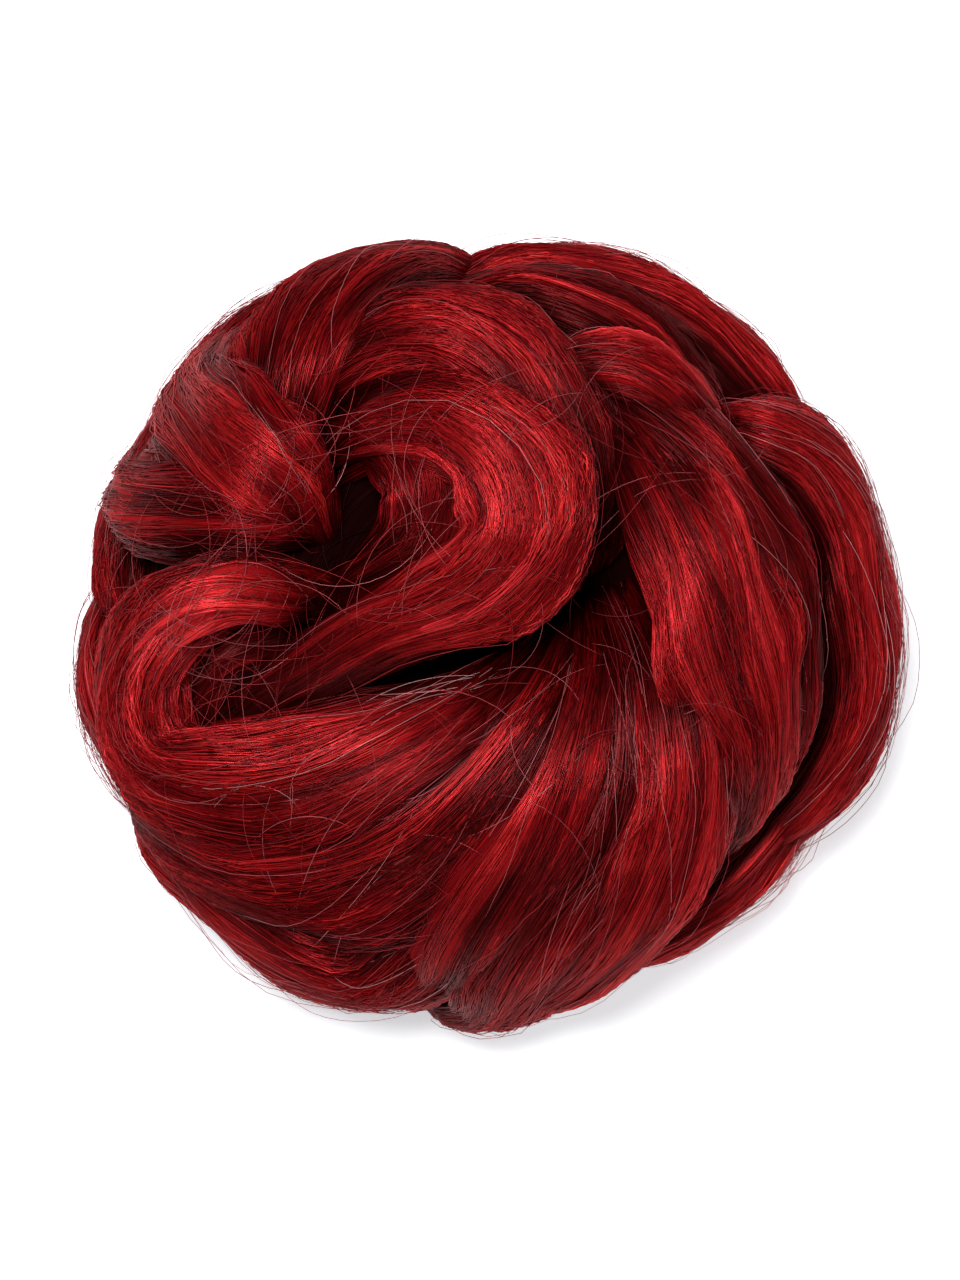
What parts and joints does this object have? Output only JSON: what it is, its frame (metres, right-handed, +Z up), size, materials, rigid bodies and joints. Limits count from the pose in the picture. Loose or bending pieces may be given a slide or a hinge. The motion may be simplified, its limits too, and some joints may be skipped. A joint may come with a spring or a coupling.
{
  "type": "top knot hairpiece",
  "caption": "Messy bun hairpiece of false hair tresses swirled and tucked over a ring of under-hair on an elastic band, open below for the wearer's own bun.",
  "frame": {"origin": "on the surface that the bun rests on, under the middle of its box and of the elastic band's opening", "axes": "+Z up out of the crown, +X across the bun to the right of the picture, +Y across it to the picture's top"},
  "size_m": [0.131, 0.125, 0.0584],
  "materials": {
    "hair": "satin",
    "under_hair": "satin",
    "elastic": "matt"
  },
  "bodies": {
    "root": {"crown_curl": "hair", "crown_arc": "hair", "right_arc": "hair", "lower_right_blade": "hair", "right_fall": "hair", "left_curl": "hair", "left_fan_upper": "hair", "left_fan_lower": "hair", "bottom_fall": "hair", "bottom_sweep": "hair", "lower_left_sweep": "hair", "right_fall_outer": "hair", "top_left_fall": "hair", "top_right_arc": "hair", "right_rim": "hair", "lower_left_rim": "hair", "top_right_rim": "hair", "upper_left_rim": "hair", "left_rim_loop": "hair", "lower_right_rim": "hair", "under_hair": "under_hair", "elastic_band": "elastic"}
  },
  "joints": []
}
